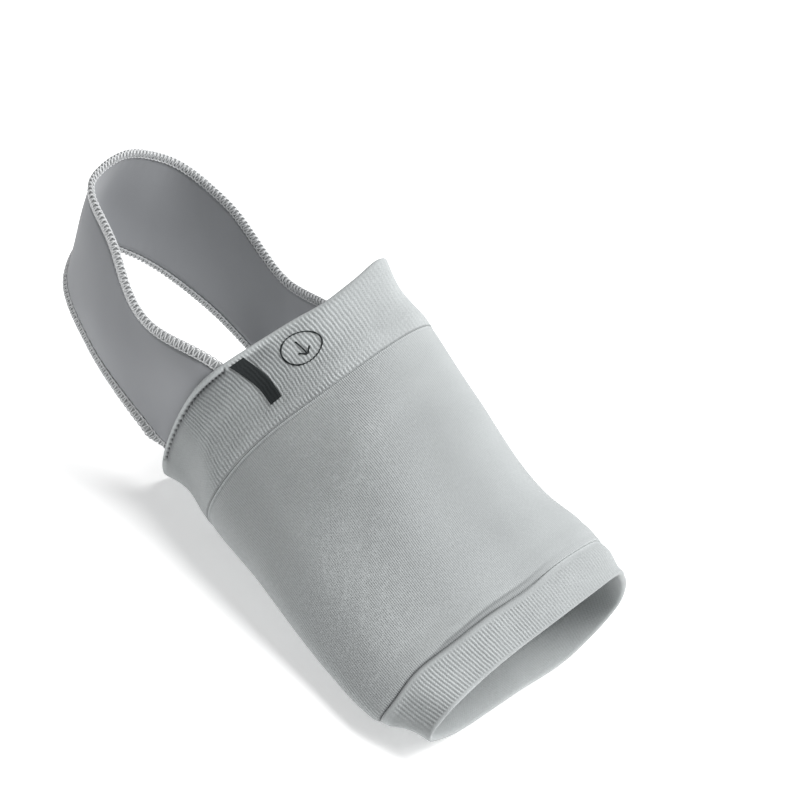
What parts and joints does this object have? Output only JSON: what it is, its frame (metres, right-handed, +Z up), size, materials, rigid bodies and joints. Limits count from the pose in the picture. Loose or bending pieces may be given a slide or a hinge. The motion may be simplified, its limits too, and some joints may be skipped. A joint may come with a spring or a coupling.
{
  "type": "arch support sleeve",
  "caption": "Knitted tube for the middle of the right foot, with ribbed welts, a strap round the heel and an oval silicone pad under the arch, kept in its worn form.",
  "frame": {"origin": "where the foot's sole rests inside the sleeve, half way along it", "axes": "+X toward the toes, +Y toward the arch side of a right foot, +Z up from the sole"},
  "size_m": [0.1963, 0.1031, 0.0891],
  "materials": {
    "grey_jersey": "fine grey jersey knit, matt",
    "grey_rib": "fine rib knit of the same grey yarn, matt",
    "strap_cloth": "smooth grey stretch cloth, matt",
    "pale_thread": "pale grey overlock thread",
    "arch_silicone": "satin grey-green silicone",
    "black_print": "thin matt black print"
  },
  "bodies": {
    "root": {"sleeve_body": "grey_jersey", "instep_welt": "grey_rib", "toe_welt": "grey_rib", "heel_strap": "strap_cloth", "strap_edging_lower": "pale_thread", "strap_edging_upper": "pale_thread", "strap_end_seam_outer": "pale_thread", "strap_end_seam_inner": "pale_thread", "arch_gel_pad": "arch_silicone", "size_bar": "black_print"}
  },
  "joints": []
}
